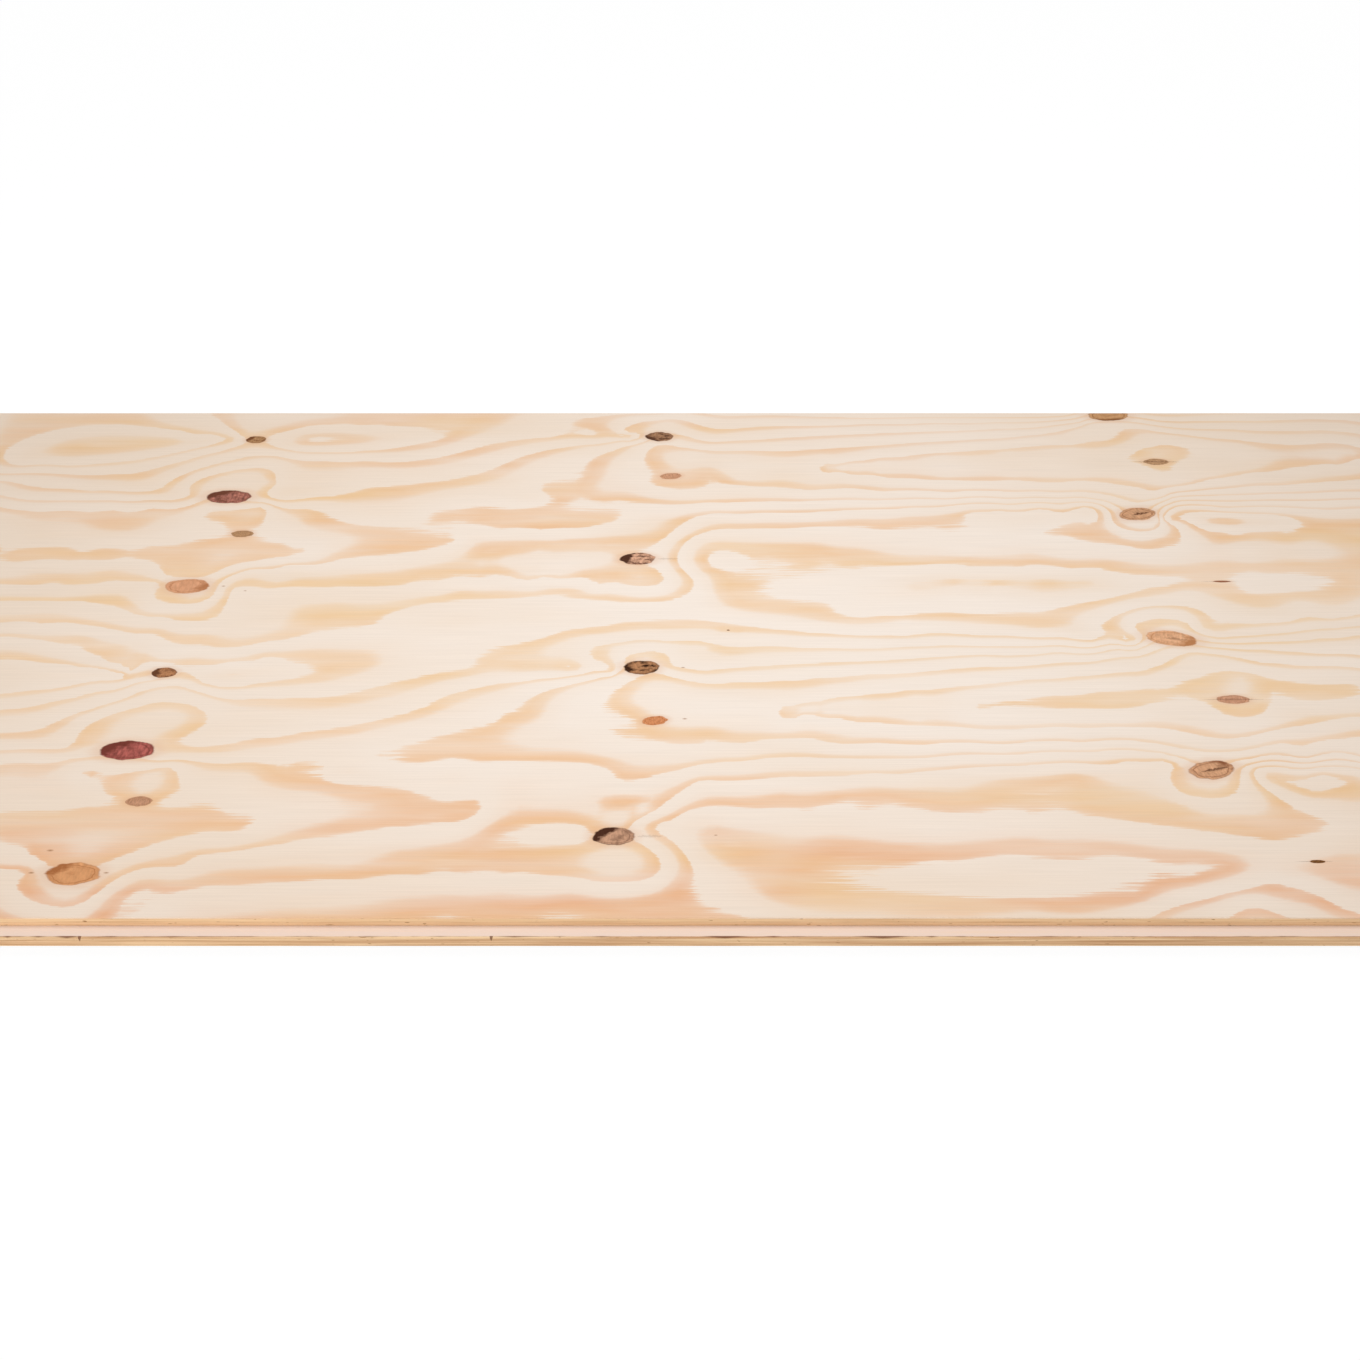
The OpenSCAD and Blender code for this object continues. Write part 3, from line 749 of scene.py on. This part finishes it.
# knots: lumpy outline, dark rim and end, mottles, knife marks, cracks and a warm halo in the wood around them
knotLook = {
    "lump": 0.42,  # in radii
    "lumpScale": 1.7,  # lumps to a radius
    "outline": {"From Min": 1.05, "From Max": 0.93},  # radii, from the wood to the knot
    "halo": "E3B08A",
    "haloRange": {"From Min": 1.7, "From Max": 0.9, "To Max": 0.35},
    "mottleScale": 1.9,  # mottles to a radius
    "mottleRange": {"From Min": 0.46, "From Max": 0.62},
    "clearRange": {"From Min": 0.3, "From Max": 0.6},  # share of mottles, from clear knots to mottled ones
    "endUneven": 0.9,
    "endRange": {"From Min": 0.64, "From Max": 0.92, "To Max": 0.95},
    "rimStart": (0.92, 0.8),  # radii, in clear knots, in mottled ones
    "rimRange": {"From Max": 0.99, "To Max": 0.9},
    "rimBreaks": {"From Min": 0.4, "From Max": 0.58, "To Min": 0.45},
    "innerRing": (0.78, 0.06),  # place and half width in radii
    "innerRingShare": (0.75, 0.4),  # in clear knots, in mottled ones
    "knifeScale": (8, 1.6, 1),  # marks to a radius, along and across
    "knifeMiddle": 0.52,
    "knifeDepth": 1.8,
    "crack": "5A3622",
    "crackWidth": 0.2,  # radii
    "crackBend": 0.5,
    "speck": "A06E48",
    "speckStretch": 2,  # specks are longer than wide
    "speckSoftness": 1.4,
    "speckShare": 0.9,
    "farAway": 9.0,  # radii, added where no knot is near
}


def knottedWood(tree, coords, wood):
    readings = [
        ("knotPlace", "Vector"), ("knotDark", "Vector"), ("knotCrack", "Vector"), ("knotNear", "Fac"),
        ("knotKnife", "Fac"), ("knotHeart", "Color"), ("knotRim", "Color"),
    ]
    place, dark, crackRun, near, knife, heart, rimColour = [
        addNode(tree, "Attribute", out=out, attribute_name=name) for name, out in readings
    ]
    spot = addNode(tree, "SeparateXYZ", {"Vector": place}).node.outputs
    flat = addNode(tree, "CombineXYZ", {"X": spot["X"], "Y": spot["Y"]})

    # distance from the knot's middle in radii, with a lumpy outline
    lumps = addNode(tree, "TexNoise", {"Vector": place, "Scale": knotLook["lumpScale"], "Detail": 4.0})
    lump = addNode(tree, "Math", {
        0: lumps, 1: knotLook["lump"], 2: -knotLook["lump"] / 2,
    }, operation="MULTIPLY_ADD")
    reach = addNode(tree, "VectorMath", {0: flat}, operation="LENGTH")
    far = knotLook["farAway"]
    away = addNode(tree, "Math", {0: near, 1: -far, 2: far}, operation="MULTIPLY_ADD")
    lumpy = addNode(tree, "Math", {0: reach, 1: lump}, operation="ADD")
    radius = addNode(tree, "Math", {0: lumpy, 1: away}, operation="ADD")
    halo, inKnot = [
        addNode(tree, "MapRange", {"Value": radius, **knotLook[part]}, interpolation_type="SMOOTHSTEP")
        for part in ("haloRange", "outline")
    ]

    # dark parts: mottles, one end, the broken rim and an inner ring
    mottles = addNode(tree, "TexNoise", {
        "Vector": place, "Scale": knotLook["mottleScale"], "Detail": 4.0, "Roughness": 0.6,
    })
    mottleShare = addNode(tree, "SeparateXYZ", {"Vector": dark}, out="Z")
    mottled = addNode(tree, "MapRange", {"Value": mottles, **knotLook["mottleRange"], "To Max": mottleShare})
    lean = addNode(tree, "VectorMath", {0: flat, 1: dark}, operation="DOT_PRODUCT")
    unevenLean = addNode(tree, "Math", {
        0: mottles, 1: knotLook["endUneven"], 2: lean,
    }, operation="MULTIPLY_ADD")
    darkEnd = addNode(tree, "MapRange", {"Value": unevenLean, **knotLook["endRange"]})
    rimStart, ringShare = [
        addNode(tree, "MapRange", {
            "Value": mottleShare, **knotLook["clearRange"], "To Min": inClear, "To Max": inMottled,
        })
        for inClear, inMottled in (knotLook["rimStart"], knotLook["innerRingShare"])
    ]
    rim = addNode(tree, "MapRange", {"Value": radius, "From Min": rimStart, **knotLook["rimRange"]})
    rimBreaks = addNode(tree, "MapRange", {"Value": lumps, **knotLook["rimBreaks"]})
    brokenRim = addNode(tree, "Math", {0: rim, 1: rimBreaks}, operation="MULTIPLY")
    ringPlace, ringHalf = knotLook["innerRing"]
    fromRing = addNode(tree, "Math", {0: radius, 1: ringPlace}, operation="SUBTRACT")
    ringGap = addNode(tree, "Math", {0: fromRing}, operation="ABSOLUTE")
    ring = addNode(tree, "MapRange", {
        "Value": ringGap, "From Min": ringHalf, "From Max": 0.0, "To Max": ringShare,
    })
    outline = addNode(tree, "Math", {0: ring, 1: brokenRim}, operation="MAXIMUM")
    darker = addNode(tree, "Math", {0: mottled, 1: darkEnd}, operation="MAXIMUM")
    darkest = addNode(tree, "Math", {0: darker, 1: outline}, operation="MAXIMUM")

    # short marks of the peeling knife across the heart
    marks = addNode(tree, "Mapping", {"Vector": place, "Scale": knotLook["knifeScale"]})
    mark = addNode(tree, "TexNoise", {"Vector": marks, "Scale": 1.0, "Detail": 3.0})
    swing = addNode(tree, "Math", {0: mark, 1: knotLook["knifeMiddle"]}, operation="SUBTRACT")
    plainSwing = addNode(tree, "Math", {0: swing, 1: knife}, operation="MULTIPLY")
    markTone = addNode(tree, "Math", {
        0: plainSwing, 1: knotLook["knifeDepth"], 2: 1.0,
    }, operation="MULTIPLY_ADD")
    markedHeart = addNode(tree, "VectorMath", {0: heart, 1: markTone}, operation="MULTIPLY")
    knotWood = addNode(tree, "Mix", {"Factor": darkest, "A": markedHeart, "B": rimColour}, data_type="RGBA")
    haloed = addNode(tree, "Mix", {
        "Factor": halo, "A": wood, "B": hexColour(knotLook["halo"]),
    }, data_type="RGBA")
    knotted = addNode(tree, "Mix", {"Factor": inKnot, "A": haloed, "B": knotWood}, data_type="RGBA")

    # cracks along the fibres taper to both ends, and run out of some knots as pointed tips
    run = addNode(tree, "SeparateXYZ", {"Vector": crackRun}).node.outputs
    along = addNode(tree, "MapRange", {"Value": spot["X"], "From Min": run["X"], "From Max": run["Y"]})
    rest = addNode(tree, "Math", {0: 1.0, 1: along}, operation="SUBTRACT")
    taper = addNode(tree, "Math", {0: along, 1: rest}, operation="MULTIPLY")
    width = addNode(tree, "Math", {
        0: taper, 1: 4 * knotLook["crackWidth"], 2: 0.001,  # never quite 0, so that the range below holds
    }, operation="MULTIPLY_ADD")
    bend = knotLook["crackBend"]
    bent = addNode(tree, "Math", {0: mark, 1: bend, 2: spot["Y"]}, operation="MULTIPLY_ADD")
    fromLine = addNode(tree, "Math", {0: bent, 1: bend / 2}, operation="SUBTRACT")
    gap = addNode(tree, "Math", {0: fromLine}, operation="ABSOLUTE")
    inCrack = addNode(tree, "MapRange", {
        "Value": gap, "From Min": width, "From Max": 0.0, "To Max": run["Z"],
    })
    crackShare = addNode(tree, "Math", {0: inCrack, 1: near}, operation="MULTIPLY")
    cracked = addNode(tree, "Mix", {
        "Factor": crackShare, "A": knotted, "B": hexColour(knotLook["crack"]),
    }, data_type="RGBA")

    # specks, at the same places on both broad faces
    stretch = knotLook["speckStretch"]
    unevenPlace = addNode(tree, "VectorMath", {0: coords, 1: (1, stretch, 0)}, operation="MULTIPLY")
    speckShare = 0.0
    for x, y, size in specks:
        centre = (x * mm, stretch * y * mm, 0)
        away = addNode(tree, "VectorMath", {0: unevenPlace, 1: centre}, operation="DISTANCE")
        inSpeck = addNode(tree, "MapRange", {
            "Value": away, "From Min": knotLook["speckSoftness"] * size * mm, "From Max": 0.0,
            "To Max": knotLook["speckShare"],
        })
        speckShare = addNode(tree, "Math", {0: inSpeck, 1: speckShare}, operation="MAXIMUM")
    specked = addNode(tree, "Mix", {
        "Factor": speckShare, "A": cracked, "B": hexColour(knotLook["speck"]),
    }, data_type="RGBA")
    return specked, inKnot, darkest


def veneerMaterial():
    material, tree = newMaterial("rotary_peeled_pine_veneer")
    coords = addNode(tree, "TexCoord", out="Object")
    wood, fibre, late = veneerWood(tree, coords)
    colour, inKnot, darkest = knottedWood(tree, coords, wood)

    # raised fibres, and knots whose dark parts lie a little deeper
    knotDip = addNode(tree, "Math", {0: inKnot, 1: darkest}, operation="MULTIPLY")
    height = addNode(tree, "Math", {0: knotDip, 1: veneer["knotDip"], 2: fibre}, operation="MULTIPLY_ADD")
    smooth, rough = veneer["roughness"]
    roughness = addNode(tree, "MapRange", {"Value": late, "To Min": rough, "To Max": smooth})
    woodSurface(tree, colour, roughness, height, veneer)
    return material


# Pine plywood, milled on its edges: plies in turn along and across, thin glue lines, streaks of the cutter.
edgeFinish = {
    "noises": {  # size in mm along, across and through the board, where 0 leaves an axis out, and detail
        "wander": ((1000 / 30, 0, 0), 3.0),  # how quickly the plies rise and fall
        "streak": ((70, 0.5, 0.5), 4.0),
        "fleck": ((5, 0.9, 0.9), 1.0),
        "nose": ((1000 / 9, 0, 1000 / 700), 4.0),
        "tear": ((1000 / 55, 0, 0), 5.0),  # how quickly the torn line changes
    },
    "alongPly": "F7D5AA",
    "acrossPly": "F1CBA1",
    "endGrain": "D2A270",
    "endAcross": "F0D3A8",
    "endFacing": 0.7,  # share of a normal along the board from which a face is a sawn end
    "plyCount": 7,
    "wander": 0.9,  # mm in height
    "streak": "C99868",
    "streakRange": {"From Min": 0.45, "From Max": 0.75, "To Max": 0.75},
    "glueLine": "A97F58",
    "glueThickness": 0.25,  # mm
    "glueBreaks": {"From Min": 0.4, "From Max": 0.6, "To Min": 0.1, "To Max": 0.7},
    "fleck": "9A6B42",
    "fleckRange": {"From Min": 0.71, "From Max": 0.76, "To Max": 0.8},
    "noseStreak": "B37C52",
    "noseReach": 1.4,  # mm back from the tongue's tip
    "noseRange": {"From Min": 0.42, "From Max": 0.7, "To Max": 0.85},
    "tongueFace": "F1DACC",
    "levelFacing": {"From Min": 0.9, "From Max": 0.97},
    "levelStreak": 0.45,
    "tornLine": "7A503A",
    "tornDepth": 0.45,  # mm
    "tornRange": {"From Min": 0.42, "From Max": 0.7},
    "tornFade": 0.5,  # mm
    "tornShare": 0.85,
    "tornDip": -2.0,  # the torn line lies deeper, in heights of the streaks
    "roughness": (0.6, 0.72),
    "relief": 0.3,
    "reliefDepth": 0.2,  # mm
    "ior": 1.5,
    "specular": 0.04,
}

# splits in the tongue's upper corner: middle along the board, half length, and depth below the corner in mm
splits = [
    (-374, 4, 0.6), (-357, 7, 0.5), (-341, 9, 0.8), (-334, 1.0, 3.2), (-282, 14, 0.4), (-105, 1.0, 2.8),
    (-92, 16, 0.5), (25, 15, 0.9), (52, 6, 0.5), (113, 19, 0.9), (140, 6, 0.5),
]


def edgeMaterial():
    material, tree = newMaterial("milled_pine_plywood_edge")
    coords = addNode(tree, "TexCoord", out="Object")
    spot = addNode(tree, "SeparateXYZ", {"Vector": coords}).node.outputs
    normal = addNode(tree, "NewGeometry", out="Normal")
    facing = addNode(tree, "SeparateXYZ", {"Vector": normal}).node.outputs
    noises = []
    for sizes, detail in edgeFinish["noises"].values():
        scale = [1 / (size * mm) if size else 0 for size in sizes]
        stretched = addNode(tree, "Mapping", {"Vector": coords, "Scale": scale})
        noises.append(addNode(tree, "TexNoise", {"Vector": stretched, "Scale": 1.0, "Detail": detail}))
    wander, streak, fleck, nose, tear = noises

    # the plies wander a little in height along the edge
    wavyHeight = addNode(tree, "Math", {
        0: wander, 1: edgeFinish["wander"] * mm, 2: spot["Z"],
    }, operation="MULTIPLY_ADD")
    plyStep = thickness / edgeFinish["plyCount"] * mm
    plyPlace = addNode(tree, "Math", {0: wavyHeight, 1: plyStep}, operation="DIVIDE")
    plyPhase = addNode(tree, "Math", {0: plyPlace}, operation="FRACT")
    plyPair = addNode(tree, "Math", {0: plyPlace, 1: 2.0}, operation="MODULO")
    across = addNode(tree, "Math", {0: plyPair, 1: 1.0}, operation="GREATER_THAN")

    # the sawn ends show end grain in the plies that run along the board
    longPly, endPly = [
        addNode(tree, "Mix", {
            "Factor": across, "A": hexColour(edgeFinish[one]), "B": hexColour(edgeFinish[other]),
        }, data_type="RGBA")
        for one, other in (("alongPly", "acrossPly"), ("endGrain", "endAcross"))
    ]
    endways = addNode(tree, "Math", {0: facing["X"]}, operation="ABSOLUTE")
    isEnd = addNode(tree, "Math", {0: endways, 1: edgeFinish["endFacing"]}, operation="GREATER_THAN")
    colour = addNode(tree, "Mix", {"Factor": isEnd, "A": longPly, "B": endPly}, data_type="RGBA")

    # streaks of the cutter, and a glue line at the foot of each ply, broken where the cutter smeared it
    streakShare = addNode(tree, "MapRange", {"Value": streak, **edgeFinish["streakRange"]})
    lineShare = edgeFinish["glueThickness"] * mm / plyStep
    inLine = addNode(tree, "Math", {0: plyPhase, 1: lineShare}, operation="LESS_THAN")
    broken = addNode(tree, "MapRange", {"Value": wander, **edgeFinish["glueBreaks"]})
    glueShare = addNode(tree, "Math", {0: inLine, 1: broken}, operation="MULTIPLY")

    # short dark flecks where fibres tore out, and a nose that is streaked more deeply than the shoulders
    fleckShare = addNode(tree, "MapRange", {"Value": fleck, **edgeFinish["fleckRange"]})
    onNose = addNode(tree, "Math", {
        0: spot["Y"], 1: (tipY + edgeFinish["noseReach"]) * mm,
    }, operation="LESS_THAN")
    noseDark = addNode(tree, "MapRange", {"Value": nose, **edgeFinish["noseRange"]})
    noseShare = addNode(tree, "Math", {0: onNose, 1: noseDark}, operation="MULTIPLY")
    layers = (
        (streakShare, "streak"), (glueShare, "glueLine"), (fleckShare, "fleck"), (noseShare, "noseStreak"),
    )
    for share, tone in layers:
        colour = addNode(tree, "Mix", {
            "Factor": share, "A": colour, "B": hexColour(edgeFinish[tone]),
        }, data_type="RGBA")

    # the level faces of the tongue show the smooth side of one ply
    upright = addNode(tree, "Math", {0: facing["Z"]}, operation="ABSOLUTE")
    isLevel = addNode(tree, "MapRange", {"Value": upright, **edgeFinish["levelFacing"]})
    levelStreak = addNode(tree, "Math", {0: streakShare, 1: edgeFinish["levelStreak"]}, operation="MULTIPLY")
    levelPly = addNode(tree, "Mix", {
        "Factor": levelStreak,
        "A": hexColour(edgeFinish["tongueFace"]),
        "B": hexColour(edgeFinish["alongPly"]),
    }, data_type="RGBA")
    sides = addNode(tree, "Mix", {"Factor": isLevel, "A": colour, "B": levelPly}, data_type="RGBA")

    # torn line along the tongue's upper corner, with longer splits in it
    cornerZ = (middleZ + board["tongueThickness"] / 2) * mm
    depth = addNode(tree, "Math", {0: cornerZ, 1: spot["Z"]}, operation="SUBTRACT")
    tearDepth = addNode(tree, "MapRange", {
        "Value": tear, **edgeFinish["tornRange"], "To Max": edgeFinish["tornDepth"] * mm,
    })
    for middle, halfLength, splitDepth in splits:
        away = addNode(tree, "Math", {0: spot["X"], 1: middle * mm}, operation="SUBTRACT")
        apart = addNode(tree, "Math", {0: away}, operation="ABSOLUTE")
        deep = addNode(tree, "MapRange", {
            "Value": apart, "From Min": halfLength * mm, "From Max": 0.0, "To Max": splitDepth * mm,
        })
        tearDepth = addNode(tree, "Math", {0: tearDepth, 1: deep}, operation="MAXIMUM")
    margin = addNode(tree, "Math", {0: tearDepth, 1: depth}, operation="SUBTRACT")
    torn = addNode(tree, "MapRange", {
        "Value": margin, "From Min": 0.0, "From Max": edgeFinish["tornFade"] * mm,
        "To Max": edgeFinish["tornShare"],
    })
    tornShare = addNode(tree, "Math", {0: torn, 1: onNose}, operation="MULTIPLY")
    edged = addNode(tree, "Mix", {
        "Factor": tornShare, "A": sides, "B": hexColour(edgeFinish["tornLine"]),
    }, data_type="RGBA")

    height = addNode(tree, "Math", {
        0: tornShare, 1: edgeFinish["tornDip"], 2: streak,
    }, operation="MULTIPLY_ADD")
    smooth, rough = edgeFinish["roughness"]
    roughness = addNode(tree, "MapRange", {"Value": streak, "To Min": smooth, "To Max": rough})
    woodSurface(tree, edged, roughness, height, edgeFinish)
    return material


# both broad faces take the veneer, every other face the milled edge
def dressBoard(piece):
    piece.data.materials.clear()
    for material in (veneerMaterial(), edgeMaterial()):
        piece.data.materials.append(material)
    for face in piece.data.polygons:
        fromMiddle = abs(face.center.z / mm - middleZ)
        onFace = abs(face.normal.z) > board["faceTilt"] and fromMiddle > middleZ - board["faceDepth"]
        face.material_index = 0 if onFace else 1
    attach(piece, "root")
    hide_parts("board")


plywoodBoard = makeBoard()
print("board modelled,", len(plywoodBoard.data.polygons), "faces")
markFigure(plywoodBoard)
dressBoard(plywoodBoard)
print("board dressed")

# Stage: a plain pale floor, an even sky, a soft lamp overhead and a low one at the front left.
stage = {
    "floorSize": 14.0,  # m
    "floorDrop": 0.2,  # mm below the board
    "floorColour": "F7F7F7",
    "floorWhite": 1.03,
    "floorWhiteShare": 0.93,  # how much of the floor that the camera sees is plain white
    "skyStrength": 0.51,
    "lamps": {  # place in m, size in m, power in W
        "overhead_lamp": ((0, 0, 1.1), 0.7, 6.3),
        "side_lamp": ((-1.3, -1.5, 0.25), 0.45, 10),
    },
    "cameraPlace": (0, -1.1834, 0.8023),
    "cameraPitch": 35,  # degrees down
    "lens": 55.84,  # mm
    "sensor": 36,  # mm
}


# 1 for rays that show the background itself, 0 for rays that only carry its light
def seenRays(tree):
    rays = addNode(tree, "LightPath").node.outputs
    shiny = addNode(tree, "Math", {
        0: rays["Is Glossy Ray"], 1: rays["Is Transmission Ray"],
    }, operation="MAXIMUM")
    return addNode(tree, "Math", {0: rays["Is Camera Ray"], 1: shiny}, operation="MAXIMUM")


def makeStage():
    bpy.ops.object.select_all(action="DESELECT")
    bpy.ops.mesh.primitive_plane_add(size=stage["floorSize"], location=(0, 0, -stage["floorDrop"] * mm))
    floor = bpy.context.object
    floor.name = "floor"
    # matt white paint, rolled on: even and without gloss, so that only the board's shadow shows on it
    material, tree = newMaterial("matt_white_paint")
    paint = addNode(tree, "BsdfDiffuse", {"Color": hexColour(stage["floorColour"])})
    white = addNode(tree, "Emission", {"Strength": stage["floorWhite"]})
    share = addNode(tree, "Math", {0: seenRays(tree), 1: stage["floorWhiteShare"]}, operation="MULTIPLY")
    mixed = addNode(tree, "MixShader", {0: share, 1: paint, 2: white})
    addNode(tree, "OutputMaterial", {"Surface": mixed})
    floor.data.materials.append(material)

    world = bpy.data.worlds.new("even_sky")
    bpy.context.scene.world = world
    world.use_nodes = True
    sky = world.node_tree
    sky.nodes.clear()
    strength = addNode(sky, "MapRange", {
        "Value": seenRays(sky), "To Min": stage["skyStrength"], "To Max": 1.0,
    })
    light = addNode(sky, "Background", {"Color": hexColour("FFFFFF"), "Strength": strength})
    addNode(sky, "OutputWorld", {"Surface": light})

    for name, (place, size, power) in stage["lamps"].items():
        bpy.ops.object.light_add(type="AREA", location=place)
        lamp = bpy.context.object
        lamp.name = name
        lamp.data.size = size
        lamp.data.energy = power
        lamp.visible_camera = False
        towards = -lamp.location.normalized()
        lamp.rotation_euler = towards.to_track_quat("-Z", "Y").to_euler()

    bpy.ops.object.camera_add(location=stage["cameraPlace"])
    camera = bpy.context.object
    camera.rotation_euler = (math.radians(90 - stage["cameraPitch"]), 0, 0)
    camera.data.lens = stage["lens"]
    camera.data.sensor_width = stage["sensor"]
    bpy.context.scene.camera = camera
    bpy.context.scene.view_settings.view_transform = "Standard"


makeStage()
print("stage set")
